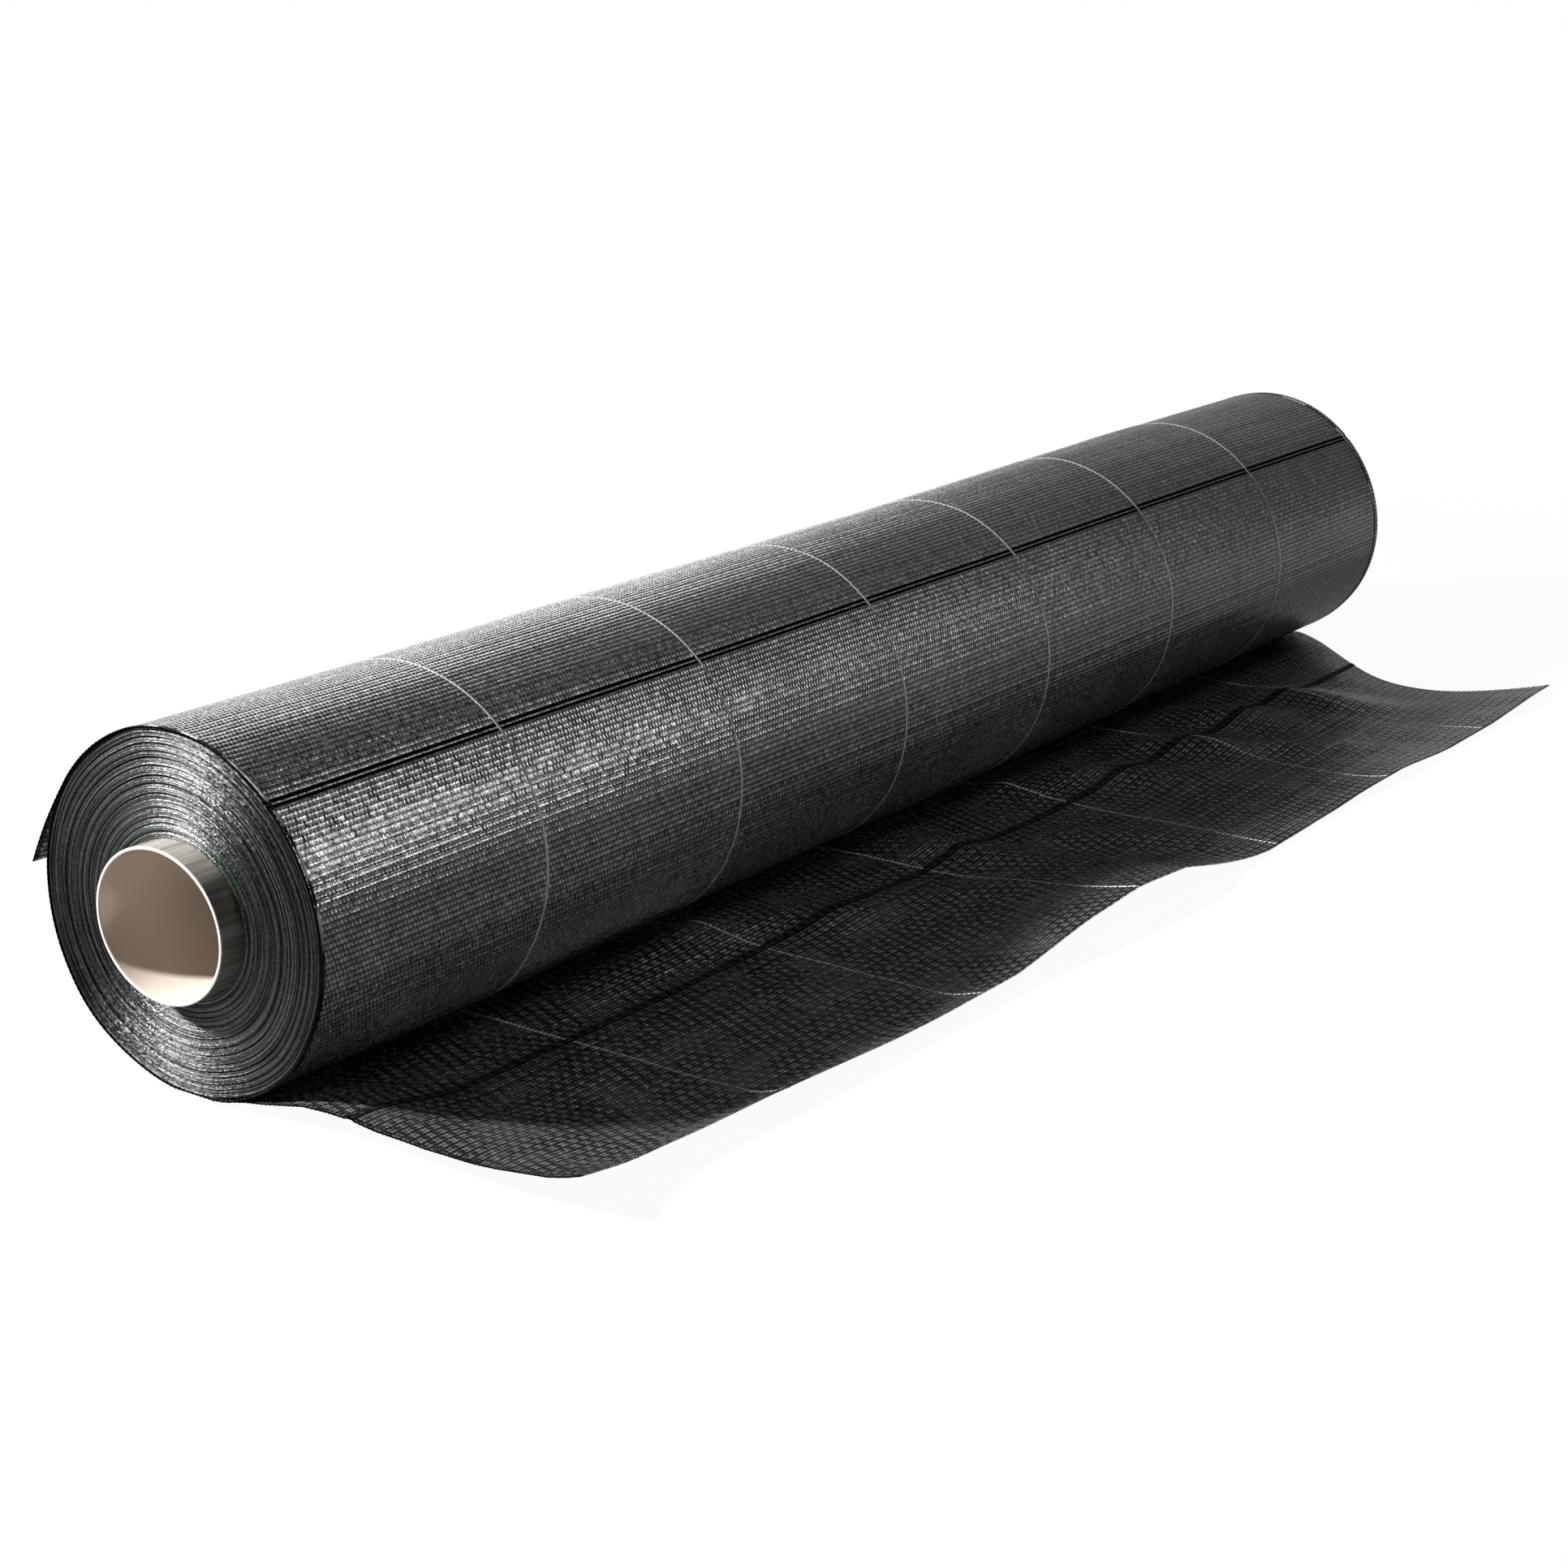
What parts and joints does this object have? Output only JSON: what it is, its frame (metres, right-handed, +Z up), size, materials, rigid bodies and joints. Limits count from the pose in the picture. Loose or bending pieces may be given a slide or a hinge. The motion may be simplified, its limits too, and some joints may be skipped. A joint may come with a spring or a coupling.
{
  "type": "landscape fabric roll",
  "caption": "Roll of black woven weed-control fabric on a plastic core, with its free end laid out in front and a loose outer tail.",
  "frame": {"origin": "on the ground, under the roll's axis, at the middle of the web's width", "axes": "+X along the roll's axis toward the far end, -Y toward the free end in front, +Z up"},
  "size_m": [1.074, 0.3287, 0.1676],
  "materials": {
    "core_plastic": "glossy grey-beige plastic tube",
    "turn_edges": "edges of many tight turns of woven tape",
    "woven_fabric": "black woven polypropylene tape with a satin sheen"
  },
  "bodies": {
    "roll": {"wound_pack": "turn_edges", "outer_ply": "woven_fabric", "under_ply": "woven_fabric", "lead_in": "woven_fabric"},
    "core": {"core_tube": "core_plastic"},
    "free_length": {"free_end": "woven_fabric"},
    "tail": {"outer_tail": "woven_fabric"}
  },
  "joints": [
    {"name": "core_slide", "type": "slide", "parent": "roll", "child": "core", "axis": [1, 0, 0], "range_m": [-0.012, 0.012]},
    {"name": "free_end_lift", "type": "hinge", "parent": "roll", "child": "free_length", "pos_m": [0, -0.06, 0.0006], "axis": [-1, 0, 0], "range_deg": [0, 57]},
    {"name": "tail_peel", "type": "hinge", "parent": "roll", "child": "tail", "pos_m": [0, 0.06836, 0.13277], "axis": [1, 0, 0], "range_deg": [0, 70]}
  ]
}
